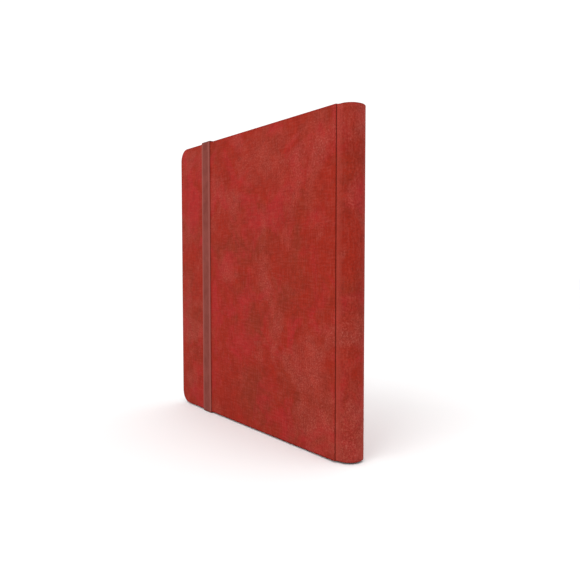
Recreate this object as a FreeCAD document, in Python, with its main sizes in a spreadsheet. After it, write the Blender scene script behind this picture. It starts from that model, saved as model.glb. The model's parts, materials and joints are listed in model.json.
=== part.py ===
import FreeCAD, Part
import Sketcher
import math
import os
import re

# Card album with fixed side-loading pages, standing closed on its lower edge.
# Frame: X runs from the fore-edge (-X) to the spine (+X), Y from the front cover (-Y) to the
# back cover (+Y), Z up. The origin is the middle of the bounding box, at its lowest plane,
# which is the underside of the elastic strap. All lengths are millimetres.

SIZES = {
    "cover_width": 297.0,
    "cover_height": 318.0,
    "cover_corner": 15.0,
    "album_thickness": 32.0,
    "skin": 0.8,
    "foam": 0.6,
    "board": 1.4,
    "lining": 0.4,
    "turn_in": 12.0,
    "lining_corner": 11.0,
    "spine_bulge": 14.5,
    "spine_step": 3.0,
    "spine_round": 12.0,
    "spine_board": 1.2,
    "spine_lining": 0.3,
    "spine_board_start": 4.0,
    "groove": 0.8,
    "hinge_strip": 0.4,
    "hinge_strip_under_cover": 10.0,
    "hinge_strip_in_spine": 2.4,
    "strap_width": 18.0,
    "strap_thick": 1.4,
    "strap_centre": 65.5,
    "strap_slot_rise": 24.4,
    "strap_tail": 15.0,
    "strap_play": 0.5,
    "leaf_count": 20.0,
    "leaf_pitch": 1.2,
    "leaf_sheet": 0.3,
    "leaf_inset": 5.0,
    "leaf_corner": 4.0,
    "leaf_hinge_from_crease": 11.5,
    "leaf_hinge_gap": 2.0,
    "margin_depth": 12.0,
    "comb_front": 9.0,
    "comb_back": 3.5,
    "comb_slot_play": 0.04,
    "pocket_columns": 4.0,
    "pocket_rows": 3.0,
    "pocket_from_hinge": 7.0,
    "pocket_from_fore_edge": 2.0,
    "pocket_film": 0.12,
    "pocket_seam_height": 0.15,
    "pocket_seam": 1.2,
    "pocket_edge": 2.0,
    "pocket_column_gap": 0.5,
}

# Lengths that follow from the driving sizes, each a formula of the sheet.
WORKED_OUT = {
    "cover_thickness": "=skin + foam + board + lining",
    "overall_width": "=cover_width + spine_bulge",
    "half_thickness": "=album_thickness / 2",
    "spine_half": "=half_thickness - spine_step",
    "crease_x": "=overall_width / 2 - spine_bulge",
    "fore_edge_x": "=-overall_width / 2",
    "cover_bottom": "=strap_thick",
    "leaf_hinge_x": "=crease_x - leaf_hinge_from_crease",
    "leaf_height": "=cover_height - 2 * leaf_inset",
    "leaf_bottom": "=cover_bottom + leaf_inset",
    "leaf_left": "=fore_edge_x + leaf_inset",
    "leaf_length": "=leaf_hinge_x - leaf_hinge_gap - leaf_left",
    "pocket_left": "=leaf_left + pocket_from_fore_edge",
    "pocket_pitch": "=(leaf_hinge_x - pocket_from_hinge - pocket_left) / pocket_columns",
    "pocket_width": "=pocket_pitch - pocket_column_gap",
    "pocket_bottom": "=leaf_bottom + pocket_edge",
    "pocket_height": "=leaf_height - 2 * pocket_edge",
    "row_pitch": "=(pocket_height - pocket_seam) / pocket_rows",
    "strap_left": "=fore_edge_x + strap_centre - strap_width / 2",
    "slot_left": "=strap_left - strap_play",
    "slot_length": "=strap_width + 2 * strap_play",
}

QUARTER_TURN = math.pi / 2
VOLUME_TOLERANCE = 0.01

doc = FreeCAD.newDocument("card_album")
sheet = doc.addObject("Spreadsheet::Sheet", "sizes")


def fill_sheet():
    """Writes each size and each formula on its own row, with its name as the cell's alias."""
    row = 1
    for table in (SIZES, WORKED_OUT):
        for name, content in table.items():
            sheet.set("A%d" % row, name)
            sheet.set("B%d" % row, str(content))
            sheet.setAlias("B%d" % row, name)
            row += 1
    doc.recompute()


fill_sheet()
LEAF_COUNT = int(sheet.leaf_count)
COLUMN_COUNT = int(sheet.pocket_columns)
ROW_COUNT = int(sheet.pocket_rows)

sub_parts = []


def in_sheet(formula):
    """A formula of sheet names as an expression that another object can use."""
    return re.sub("[a-z_]+", sheet_name, formula)


def sheet_name(word):
    """One word of a formula, with the sheet's name before it where it is one of its cells."""
    known = word.group() in SIZES or word.group() in WORKED_OUT
    return "sizes." + word.group() if known else word.group()


def value(formula):
    """What a formula of sheet names comes to."""
    return float(sheet.evalExpression(in_sheet(formula)))


def bind(thing, prop, formula):
    """Ties one property of a document object to a formula of sheet names."""
    thing.setExpression(prop, in_sheet(formula))


def place(thing, place_x, place_y, place_z):
    """Ties an object's position to three formulas."""
    bind(thing, "Placement.Base.x", place_x)
    bind(thing, "Placement.Base.y", place_y)
    bind(thing, "Placement.Base.z", place_z)


def sub_part(thing, label):
    """Names an object as one sub-part of the album."""
    thing.Label = label
    sub_parts.append(thing)
    return thing


# Building blocks.

def box(label, corner, lengths):
    """A Part box from its lowest corner and its three lengths, all of them formulas."""
    made = doc.addObject("Part::Box", label)
    made.Label = label
    bind(made, "Length", lengths[0])
    bind(made, "Width", lengths[1])
    bind(made, "Height", lengths[2])
    place(made, *corner)
    return made


def joined(label, shapes):
    """Several touching shapes as one solid."""
    made = doc.addObject("Part::MultiFuse", label)
    made.Label = label
    made.Shapes = shapes
    made.Refine = True
    return made


def group(label, shapes):
    """Several separate shapes as one object."""
    made = doc.addObject("Part::Compound", label)
    made.Label = label
    made.Links = shapes
    return made


def cut(label, base, tools):
    """A shape less one or more others."""
    tool = tools[0]
    if len(tools) > 1:
        tool = joined(label + "_cutters", tools)
    made = doc.addObject("Part::Cut", label)
    made.Label = label
    made.Base = base
    made.Tool = tool
    return made


def origin_plane(body, role):
    """One of the three origin planes of a body."""
    return [feature for feature in body.Origin.OriginFeatures if feature.Role == role][0]


def sketch_on(body, plane, name):
    """A sketch on one of its body's origin planes."""
    sketch = body.newObject("Sketcher::SketchObject", name)
    sketch.AttachmentSupport = (origin_plane(body, plane), [""])
    sketch.MapMode = "FlatFace"
    return sketch


def line(sketch, start, end):
    """A straight edge of a sketch."""
    sketch.addGeometry(Part.LineSegment(FreeCAD.Vector(*start, 0), FreeCAD.Vector(*end, 0)), False)


def quarter_arc(sketch, centre, radius, first_quarter):
    """A quarter circle that starts a number of quarter turns round from the X direction."""
    circle = Part.Circle(FreeCAD.Vector(*centre, 0), FreeCAD.Vector(0, 0, 1), radius)
    start = first_quarter * QUARTER_TURN
    sketch.addGeometry(Part.ArcOfCircle(circle, start, start + QUARTER_TURN), False)


def sized(sketch, name, constraint, formula):
    """Adds a dimension to a sketch and ties it to a formula."""
    index = sketch.addConstraint(constraint)
    sketch.renameConstraint(index, name)
    bind(sketch, "Constraints." + name, formula)


def round_low_end(sketch, length, height, radius):
    """A rectangle from the sketch's origin whose two corners at its low X end are round."""
    far, top, turn = value(length), value(height), value(radius)
    line(sketch, (turn, 0), (far, 0))
    line(sketch, (far, 0), (far, top))
    line(sketch, (far, top), (turn, top))
    quarter_arc(sketch, (turn, top - turn), turn, 1)
    line(sketch, (0, top - turn), (0, turn))
    quarter_arc(sketch, (turn, turn), turn, 2)
    sketch.addConstraint(Sketcher.Constraint("Coincident", 0, 2, 1, 1))
    sketch.addConstraint(Sketcher.Constraint("Coincident", 1, 2, 2, 1))
    for first, second in ((2, 3), (3, 4), (4, 5), (5, 0)):
        sketch.addConstraint(Sketcher.Constraint("Tangent", first, 2, second, 1))
    for edge in (0, 2):
        sketch.addConstraint(Sketcher.Constraint("Horizontal", edge))
    for edge in (1, 4):
        sketch.addConstraint(Sketcher.Constraint("Vertical", edge))
    sketch.addConstraint(Sketcher.Constraint("Equal", 3, 5))
    sketch.addConstraint(Sketcher.Constraint("PointOnObject", 0, 2, -1))
    sketch.addConstraint(Sketcher.Constraint("PointOnObject", 4, 2, -2))
    sized(sketch, "corner", Sketcher.Constraint("Radius", 3, turn), radius)
    sized(sketch, "length", Sketcher.Constraint("DistanceX", -1, 1, 0, 2, far), length)
    sized(sketch, "height", Sketcher.Constraint("DistanceY", -1, 1, 1, 2, top), height)


def round_high_end(sketch, length, height, radius):
    """A rectangle from the sketch's origin whose two corners at its high X end are round."""
    far, top, turn = value(length), value(height), value(radius)
    line(sketch, (0, 0), (far - turn, 0))
    quarter_arc(sketch, (far - turn, turn), turn, 3)
    line(sketch, (far, turn), (far, top - turn))
    quarter_arc(sketch, (far - turn, top - turn), turn, 0)
    line(sketch, (far - turn, top), (0, top))
    line(sketch, (0, top), (0, 0))
    for first, second in ((0, 1), (1, 2), (2, 3), (3, 4)):
        sketch.addConstraint(Sketcher.Constraint("Tangent", first, 2, second, 1))
    sketch.addConstraint(Sketcher.Constraint("Coincident", 4, 2, 5, 1))
    sketch.addConstraint(Sketcher.Constraint("Coincident", 5, 2, 0, 1))
    for edge in (0, 4):
        sketch.addConstraint(Sketcher.Constraint("Horizontal", edge))
    for edge in (2, 5):
        sketch.addConstraint(Sketcher.Constraint("Vertical", edge))
    sketch.addConstraint(Sketcher.Constraint("Equal", 1, 3))
    sketch.addConstraint(Sketcher.Constraint("Coincident", 0, 1, -1, 1))
    sized(sketch, "corner", Sketcher.Constraint("Radius", 1, turn), radius)
    sized(sketch, "length", Sketcher.Constraint("DistanceX", -1, 1, 2, 1, far), length)
    sized(sketch, "height", Sketcher.Constraint("DistanceY", -1, 1, 4, 1, top), height)


def pad(body, sketch, depth, reverse=False):
    """Pads a sketch by a formula."""
    made = body.newObject("PartDesign::Pad", sketch.Name + "_pad")
    made.Profile = sketch
    bind(made, "Length", depth)
    made.Reversed = reverse
    return made


def slab(label, near_y, thickness, inset_by, corner):
    """An upright sheet with the covers' outline, drawn in by an inset, its fore-edge corners round."""
    body = doc.addObject("PartDesign::Body", label)
    body.Label = label
    outline = sketch_on(body, "XZ_Plane", label + "_outline")
    round_low_end(outline, "cover_width - 2 * ( %s )" % inset_by,
                  "cover_height - 2 * ( %s )" % inset_by, corner)
    pad(body, outline, thickness, reverse=True)
    place(body, "fore_edge_x + %s" % inset_by, near_y, "cover_bottom + %s" % inset_by)
    return body


def spine_solid(label, inset_by, end_inset):
    """The spine's full rounded block from the crease's groove on, drawn in by two insets."""
    body = doc.addObject("PartDesign::Body", label)
    body.Label = label
    outline = sketch_on(body, "XY_Plane", label + "_outline")
    round_high_end(outline, "spine_bulge - groove - ( %s )" % inset_by,
                   "2 * ( spine_half - ( %s ) )" % inset_by,
                   "spine_round - ( %s )" % inset_by)
    pad(body, outline, "cover_height - 2 * %s" % end_inset)
    place(body, "crease_x + groove", "( %s ) - spine_half" % inset_by,
          "cover_bottom + %s" % end_inset)
    return body


# Covers. Each is a greyboard with thin foam on its outer face, wrapped in a skin that turns in
# round all four edges, and lined inside within the turned-in edge.

def strap_slots(prefix, near_y, thickness, length):
    """The two cutters, low and high, where the strap's ends pass through or lie in the back cover."""
    low = box(prefix + "_low", ("slot_left", near_y, "cover_bottom + strap_slot_rise - strap_play"),
              ("slot_length", thickness, length))
    high = box(prefix + "_high",
               ("slot_left", near_y,
                "cover_bottom + cover_height - strap_slot_rise + strap_play - ( %s )" % length),
               ("slot_length", thickness, length))
    return [low, high]


def cover(side, outer_y, outwards):
    """The four pieces of one cover. Outwards is -1 for the front cover and 1 for the back."""
    def layer(depth, thickness):
        """The low Y of a layer that starts at a depth under the cover's outer face."""
        if outwards < 0:
            return "%s + ( %s )" % (outer_y, depth)
        return "%s - ( %s ) - ( %s )" % (outer_y, depth, thickness)

    slot_length = "strap_thick + 2 * strap_play"
    notch_length = "strap_tail + 2 * strap_play"
    core = "foam + board"
    core_corner = "cover_corner - skin"
    full = slab(side + "_skin_wrap", layer("0", "cover_thickness"), "cover_thickness", "0",
                "cover_corner")
    core_space = slab(side + "_skin_core_space", layer("skin", core), core, "skin", core_corner)
    window = slab(side + "_skin_window", layer("skin + foam + board", "lining"), "lining",
                  "turn_in", "lining_corner")
    skin_cutters = [core_space, window]
    foam = slab(side + "_foam_sheet", layer("skin", "foam"), "foam", "skin", core_corner)
    board = slab(side + "_board_sheet", layer("skin + foam", "board"), "board", "skin",
                 core_corner)
    lining = slab(side + "_lining", layer("skin + foam + board", "lining"), "lining",
                  "turn_in", "lining_corner")
    if outwards > 0:
        skin_cutters += strap_slots(side + "_skin_slot", layer("0", "skin"), "skin", slot_length)
        foam = cut(side + "_foam", foam,
                   strap_slots(side + "_foam_slot", layer("skin", "foam"), "foam", slot_length))
        board = cut(side + "_board", board,
                    strap_slots(side + "_board_notch", layer("skin + foam", "board"), "board",
                                notch_length))
    sub_part(cut(side + "_skin", full, skin_cutters), side + "_skin")
    sub_part(foam, side + "_foam")
    sub_part(board, side + "_board")
    sub_part(lining, side + "_lining")


cover("front_cover", "-half_thickness", -1)
cover("back_cover", "half_thickness", 1)


# Elastic strap. It stands over both covers' outer faces and wraps under the lower edge and over
# the upper edge. Its ends pass through slots in the back cover and lie in notches of its board.

def strap_box(label, low_y, low_z, wide_y, tall_z):
    """A stretch of the strap, at its full width."""
    return box(label, ("strap_left", low_y, low_z), ("strap_width", wide_y, tall_z))


def strap_end(prefix, outer_z, slot_z, tail_z, stub_tall):
    """The stub on the back cover's face, the pass through its slot and the tail in its board."""
    stub = strap_box(prefix + "_stub", "half_thickness", outer_z, "strap_thick", stub_tall)
    neck = strap_box(prefix + "_neck", "half_thickness - skin - foam", slot_z, "skin + foam",
                     "strap_thick")
    tail = strap_box(prefix + "_tail", "half_thickness - skin - foam - board", tail_z, "board",
                     "strap_tail")
    return [stub, neck, tail]


def strap():
    """The strap's free run and ends, and its wrap under the album as a piece of its own."""
    wrap_wide = "album_thickness + 2 * strap_thick"
    top_z = "cover_bottom + cover_height"
    stub_tall = "strap_slot_rise + strap_thick"
    front_run = strap_box("strap_front_run", "-half_thickness - strap_thick", "strap_thick",
                          "strap_thick", "cover_height")
    top_wrap = strap_box("strap_top_wrap", "-half_thickness - strap_thick", top_z, wrap_wide,
                         "strap_thick")
    upper_end = strap_end("strap_upper", top_z + " - " + "strap_slot_rise - strap_thick",
                          top_z + " - strap_slot_rise - strap_thick",
                          top_z + " - strap_slot_rise - strap_tail", stub_tall)
    lower_end = strap_end("strap_lower", "cover_bottom", "cover_bottom + strap_slot_rise",
                          "cover_bottom + strap_slot_rise", stub_tall)
    upper = joined("strap_upper_length", [front_run, top_wrap] + upper_end)
    lower = joined("strap_lower_length", lower_end)
    sub_part(group("elastic_strap", [upper, lower]), "elastic_strap")
    bottom_wrap = strap_box("strap_bottom_wrap", "-half_thickness - strap_thick", "0", wrap_wide,
                            "strap_thick")
    sub_part(bottom_wrap, "strap_bottom_wrap")


strap()


# Spine. A rounded skin over a curved board and a lining, open at its head and foot.

def spine():
    """The three nested shells of the spine. The inner two stop short of its head, foot and crease."""
    layers = (
        ("spine_skin", "0", "skin", "0"),
        ("spine_board", "skin", "skin + spine_board", "skin"),
        ("spine_lining", "skin + spine_board", "skin + spine_board + spine_lining", "skin"),
    )
    for label, outer_inset, inner_inset, end_inset in layers:
        outer = spine_solid(label + "_outer", outer_inset, end_inset)
        cutters = [spine_solid(label + "_inner", inner_inset, end_inset)]
        if label != "spine_skin":
            cutters.append(box(label + "_trim", ("crease_x", "-spine_half", "cover_bottom"),
                               ("spine_board_start", "2 * spine_half", "cover_height")))
        sub_part(cut(label, outer, cutters), label)


spine()


def hinge_strip(label, outwards):
    """The cloth joint of one cover: a leg under the cover, a step, and a leg inside the spine."""
    cover_y = "half_thickness - cover_thickness - hinge_strip"
    spine_y = "spine_half - skin - hinge_strip"
    step_tall = "half_thickness - cover_thickness - ( %s )" % spine_y
    low_cover_y, low_spine_y, low_step_y = cover_y, spine_y, spine_y
    if outwards < 0:
        low_cover_y = "cover_thickness - half_thickness"
        low_spine_y = "skin - spine_half"
        low_step_y = "cover_thickness - half_thickness"
    under_cover = box(label + "_cover_leg",
                      ("crease_x - hinge_strip_under_cover", low_cover_y, "cover_bottom"),
                      ("hinge_strip_under_cover", "hinge_strip", "cover_height"))
    step = box(label + "_step", ("crease_x", low_step_y, "cover_bottom"),
               ("hinge_strip", step_tall, "cover_height"))
    in_spine = box(label + "_spine_leg", ("crease_x", low_spine_y, "cover_bottom"),
                   ("hinge_strip_in_spine", "hinge_strip", "cover_height"))
    sub_part(joined(label, [under_cover, step, in_spine]), label)


hinge_strip("front_hinge_strip", -1)
hinge_strip("back_hinge_strip", 1)


# Binding. The leaves' margins are welded into the slots of one comb, which the two hinge strips
# hold between them.

def leaf_y(number):
    """The formula of a leaf's middle, counted from the front cover."""
    return "leaf_pitch * %g" % (number - (LEAF_COUNT + 1) / 2)


def binding_comb():
    """The comb, with one slot for each leaf's margin."""
    body = doc.addObject("PartDesign::Body", "binding_comb")
    comb_half = "( spine_half - skin - hinge_strip )"
    block = sketch_on(body, "XY_Plane", "binding_comb_outline")
    plain_rectangle(block, "0", "0", "comb_front + comb_back", "2 * %s" % comb_half)
    pad(body, block, "leaf_height")
    doc.recompute()
    full_volume = body.Shape.Volume
    slot = sketch_on(body, "XY_Plane", "binding_comb_slot")
    slot_wide = "( leaf_sheet + comb_slot_play )"
    first_slot = "%s - leaf_pitch * ( leaf_count - 1 ) / 2 - %s / 2" % (comb_half, slot_wide)
    plain_rectangle(slot, "0", first_slot, "margin_depth + comb_front - leaf_hinge_from_crease",
                    slot_wide)
    pocket = body.newObject("PartDesign::Pocket", "binding_comb_pocket")
    pocket.Profile = slot
    pocket.Type = "ThroughAll"
    pocket.Reversed = True
    pattern = body.newObject("PartDesign::LinearPattern", "binding_comb_slots")
    pattern.Originals = [pocket]
    pattern.Direction = (slot, ["V_Axis"])
    bind(pattern, "Length", "leaf_pitch * ( leaf_count - 1 )")
    pattern.Occurrences = LEAF_COUNT
    body.Tip = pattern
    place(body, "crease_x - comb_front", "-%s" % comb_half, "leaf_bottom")
    doc.recompute()
    one_slot = value("margin_depth + comb_front - leaf_hinge_from_crease") * value(slot_wide)
    removed = full_volume - body.Shape.Volume
    expected = LEAF_COUNT * one_slot * value("leaf_height")
    if abs(removed - expected) > VOLUME_TOLERANCE * expected:
        raise ValueError("the comb's slots removed %.1f, not %.1f" % (removed, expected))
    sub_part(body, "binding_comb")


def plain_rectangle(sketch, left, low, length, height):
    """A rectangle in a sketch, its lowest corner and its sides all formulas."""
    left_at, low_at, far, top = value(left), value(low), value(length), value(height)
    corners = [(left_at, low_at), (left_at + far, low_at), (left_at + far, low_at + top),
               (left_at, low_at + top)]
    for index in range(4):
        line(sketch, corners[index], corners[(index + 1) % 4])
    for index in range(4):
        sketch.addConstraint(Sketcher.Constraint("Coincident", index, 2, (index + 1) % 4, 1))
    for edge in (0, 2):
        sketch.addConstraint(Sketcher.Constraint("Horizontal", edge))
    for edge in (1, 3):
        sketch.addConstraint(Sketcher.Constraint("Vertical", edge))
    sketch.addConstraint(Sketcher.Constraint("PointOnObject", 0, 1, -2))
    if low == "0":
        sketch.addConstraint(Sketcher.Constraint("PointOnObject", 0, 1, -1))
    else:
        sized(sketch, "low", Sketcher.Constraint("DistanceY", -1, 1, 0, 1, low_at), low)
    sized(sketch, "length", Sketcher.Constraint("DistanceX", 0, 1, 0, 2, far), length)
    sized(sketch, "height", Sketcher.Constraint("DistanceY", 1, 1, 1, 2, top), height)


binding_comb()


def page_margins():
    """The margins of all the leaves, from each leaf's scored hinge to the bottom of its slot."""
    margins = []
    for number in range(1, LEAF_COUNT + 1):
        margins.append(box("page_margin_%02d" % number,
                           ("leaf_hinge_x", "%s - leaf_sheet / 2" % leaf_y(number), "leaf_bottom"),
                           ("margin_depth", "leaf_sheet", "leaf_height")))
    sub_part(group("page_margins", margins), "page_margins")


page_margins()


# Leaves. Each is a stiff backing sheet with four side-loading pocket strips welded to each side.

def pocket_strip(label, column, outwards):
    """One column of pockets: a clear film on a low weld that leaves it open towards the spine."""
    left = "pocket_left + %d * pocket_pitch" % column
    seam_y = "leaf_sheet / 2"
    film_y = "leaf_sheet / 2 + pocket_seam_height"
    if outwards < 0:
        seam_y = "-leaf_sheet / 2 - pocket_seam_height"
        film_y = "-leaf_sheet / 2 - pocket_seam_height - pocket_film"
    pieces = [box(label + "_film", (left, film_y, "pocket_bottom"),
                  ("pocket_width", "pocket_film", "pocket_height")),
              box(label + "_side_weld", (left, seam_y, "pocket_bottom"),
                  ("pocket_seam", "pocket_seam_height", "pocket_height"))]
    for row in range(ROW_COUNT + 1):
        pieces.append(box("%s_weld_%d" % (label, row),
                          (left, seam_y, "pocket_bottom + %d * row_pitch" % row),
                          ("pocket_width", "pocket_seam_height", "pocket_seam")))
    return joined(label, pieces)


def pocket_pattern():
    """The eight pocket strips of one leaf, about the middle plane of the album."""
    strips = []
    for side, outwards in (("front", -1), ("back", 1)):
        for column in range(COLUMN_COUNT):
            strips.append(pocket_strip("pocket_%s_%d" % (side, column), column, outwards))
    return group("pocket_pattern", strips)


def leaf_backing(label, number):
    """One leaf's backing sheet beyond its scored hinge, its fore-edge corners round."""
    body = doc.addObject("PartDesign::Body", label)
    outline = sketch_on(body, "XZ_Plane", label + "_outline")
    round_low_end(outline, "leaf_length", "leaf_height", "leaf_corner")
    pad(body, outline, "leaf_sheet", reverse=True)
    place(body, "leaf_left", "%s - leaf_sheet / 2" % leaf_y(number), "leaf_bottom")
    sub_part(body, label)


def leaves():
    """Every leaf, as a backing and its pockets."""
    pattern = pocket_pattern()
    for number in range(1, LEAF_COUNT + 1):
        leaf_backing("page_%02d_backing" % number, number)
        pockets = group("page_%02d_pockets" % number, [pattern])
        bind(pockets, "Placement.Base.y", leaf_y(number))
        sub_part(pockets, "page_%02d_pockets" % number)


leaves()
doc.recompute()


def check():
    """Stops if any object failed, or any sub-part has no sound shape."""
    for thing in doc.Objects:
        if "Invalid" in thing.State or "Error" in thing.State:
            raise ValueError("%s is %s" % (thing.Label, thing.State))
    for thing in sub_parts:
        if thing.Shape.isNull() or not thing.Shape.isValid():
            raise ValueError("%s has no valid shape" % thing.Label)


def write():
    """Writes each sub-part's shape to a file of its own."""
    os.makedirs("parts", exist_ok=True)
    for thing in sub_parts:
        thing.Shape.exportStep("parts/%s.step" % thing.Label)
        bound = thing.Shape.BoundBox
        print("%-22s solids %2d  x %8.2f %8.2f  y %7.2f %7.2f  z %7.2f %7.2f" % (
            thing.Label, len(thing.Shape.Solids), bound.XMin, bound.XMax,
            bound.YMin, bound.YMax, bound.ZMin, bound.ZMax))


check()
write()
print("sub-parts: %d" % len(sub_parts))
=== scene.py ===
import bpy
import json
import math
import numpy as np
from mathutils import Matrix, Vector, noise

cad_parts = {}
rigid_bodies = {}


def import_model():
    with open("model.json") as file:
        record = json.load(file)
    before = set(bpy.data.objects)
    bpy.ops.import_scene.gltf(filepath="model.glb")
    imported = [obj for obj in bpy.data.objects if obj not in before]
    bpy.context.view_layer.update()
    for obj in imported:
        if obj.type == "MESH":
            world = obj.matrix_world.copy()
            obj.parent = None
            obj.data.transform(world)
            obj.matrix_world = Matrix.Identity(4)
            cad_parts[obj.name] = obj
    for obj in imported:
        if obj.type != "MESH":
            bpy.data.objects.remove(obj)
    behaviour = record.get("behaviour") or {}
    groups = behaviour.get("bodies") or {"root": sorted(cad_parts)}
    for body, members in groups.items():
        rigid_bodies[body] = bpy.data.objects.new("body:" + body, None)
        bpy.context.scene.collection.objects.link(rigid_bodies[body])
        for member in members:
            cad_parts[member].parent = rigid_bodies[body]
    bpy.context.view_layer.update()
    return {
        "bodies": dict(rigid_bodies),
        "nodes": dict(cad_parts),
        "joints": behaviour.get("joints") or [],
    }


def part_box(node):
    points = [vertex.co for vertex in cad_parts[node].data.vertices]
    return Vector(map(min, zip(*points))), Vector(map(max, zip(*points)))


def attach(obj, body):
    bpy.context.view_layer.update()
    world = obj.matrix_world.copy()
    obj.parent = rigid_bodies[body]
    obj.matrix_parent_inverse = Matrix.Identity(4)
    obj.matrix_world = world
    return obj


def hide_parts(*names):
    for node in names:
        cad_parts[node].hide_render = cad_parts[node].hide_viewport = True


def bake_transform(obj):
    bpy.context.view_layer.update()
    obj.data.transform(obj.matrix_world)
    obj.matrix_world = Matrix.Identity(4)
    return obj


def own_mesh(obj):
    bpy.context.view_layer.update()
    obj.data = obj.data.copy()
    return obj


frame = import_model()

MM = 0.001

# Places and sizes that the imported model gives, in metres.
FRONT_LOW, FRONT_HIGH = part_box("front_cover_skin")
BACK_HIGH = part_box("back_cover_skin")[1]
LINING_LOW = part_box("front_cover_lining")[0]
SPINE_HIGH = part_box("spine_skin")[1]
STRAP_LOW, STRAP_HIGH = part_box("elastic_strap")
WRAP_LOW, WRAP_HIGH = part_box("strap_bottom_wrap")
STRIP_LOW, STRIP_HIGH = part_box("front_hinge_strip")
FORE_EDGE = FRONT_LOW.x
CREASE = FRONT_HIGH.x
BOTTOM = FRONT_LOW.z
TOP = FRONT_HIGH.z
MIDDLE_HEIGHT = (TOP + BOTTOM) / 2
HALF_HEIGHT = (TOP - BOTTOM) / 2
FRONT_PLANE = FRONT_LOW.y
BACK_PLANE = BACK_HIGH.y
COVER_THICK = FRONT_HIGH.y - FRONT_LOW.y
STRAP_THICK = WRAP_HIGH.z - WRAP_LOW.z
STRAP_WIDTH = STRAP_HIGH.x - STRAP_LOW.x
STRAP_MIDDLE = (STRAP_LOW.x + STRAP_HIGH.x) / 2
JOINTS = {joint["name"]: joint for joint in frame["joints"]}
PAGES = sorted(body for body in frame["bodies"] if body.startswith("page_"))
TURN_IN = LINING_LOW.x - FORE_EDGE

# Sizes of the part that its boxes don't give.
SKIN = 0.8 * MM
FORE_CORNER = 15 * MM
LINING_FORE_CORNER = 11 * MM
SPINE_ROUND = 12 * MM
SPINE_LINING_THICK = 0.3 * MM
CLOTH_THICK = 0.4 * MM
SLOT_FROM_END = 24.4 * MM
STRAP_RISE = SLOT_FROM_END + STRAP_THICK / 2
POCKET_COLUMNS = 4
POCKET_ROWS = 3
POCKET_GAP = 0.5 * MM
WELD_WIDTH = 1.2 * MM

# Sizes of the finer shapes that only the pieces here have.
CREASE_CORNER = 1.2 * MM
LINING_CREASE_CORNER = 2 * MM
COVER_ROUND = 0.6 * MM
COVER_HEM_THICK = 0.4 * MM
SPINE_HEM = 4.4 * MM
SPINE_RIM = 1.35 * MM
SPINE_HEM_INSET = 2 * SPINE_RIM
SPINE_HEM_THICK = 0.35 * MM
LIP_GAP = 0.3 * MM
LIP_RADIUS = 0.3 * MM
WELT_WIDE = 1.4 * MM
WELT_PROUD = 0.35 * MM
STRAP_BEND = 1.0 * MM
FLOOR_REACH = 6.0

# How finely shapes are divided, and the angle that smooth shading keeps as an edge.
SIDE_STEPS = 64
CORNER_STEPS = 14
BEND_STEPS = 8
KEPT_EDGE = 50
KEPT_EDGE_OF_CLOTH = 60
KEPT_EDGE_OF_FOLD = 40


# Meshes.

def mesh_piece(name, points, faces, material, smooth=True):
    """A mesh object from points and faces, with its material."""
    mesh = bpy.data.meshes.new(name)
    mesh.from_pydata([tuple(point) for point in points], [], faces)
    mesh.validate()
    mesh.update()
    mesh.polygons.foreach_set("use_smooth", [smooth] * len(mesh.polygons))
    made = bpy.data.objects.new(name, mesh)
    bpy.context.scene.collection.objects.link(made)
    made.data.materials.append(material)
    return made


def grid_faces(rows, columns, close_rows=False, close_columns=False, flip=False):
    """The quads of a grid of points kept row by row."""
    faces = []
    for row in range(rows if close_rows else rows - 1):
        after = (row + 1) % rows
        for column in range(columns if close_columns else columns - 1):
            beside = (column + 1) % columns
            quad = [row * columns + column, row * columns + beside,
                    after * columns + beside, after * columns + column]
            faces.append(quad[::-1] if flip else quad)
    return faces


def upright_piece(name, loop, heights, material, keep=KEPT_EDGE):
    """A closed piece with the same outline, seen from above, at each height."""
    points = [(x, y, z) for z in heights for x, y in loop]
    faces = grid_faces(len(heights), len(loop), close_columns=True)
    last = (len(heights) - 1) * len(loop)
    faces += [list(range(len(loop)))[::-1], list(range(last, last + len(loop)))]
    piece = mesh_piece(name, points, faces, material)
    sharpen(piece, keep)
    return piece


def sharpen(piece, degrees=KEPT_EDGE):
    """Smooth shading that keeps the edges steeper than an angle."""
    piece.data.set_sharp_from_angle(angle=math.radians(degrees))


# Materials.

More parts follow.
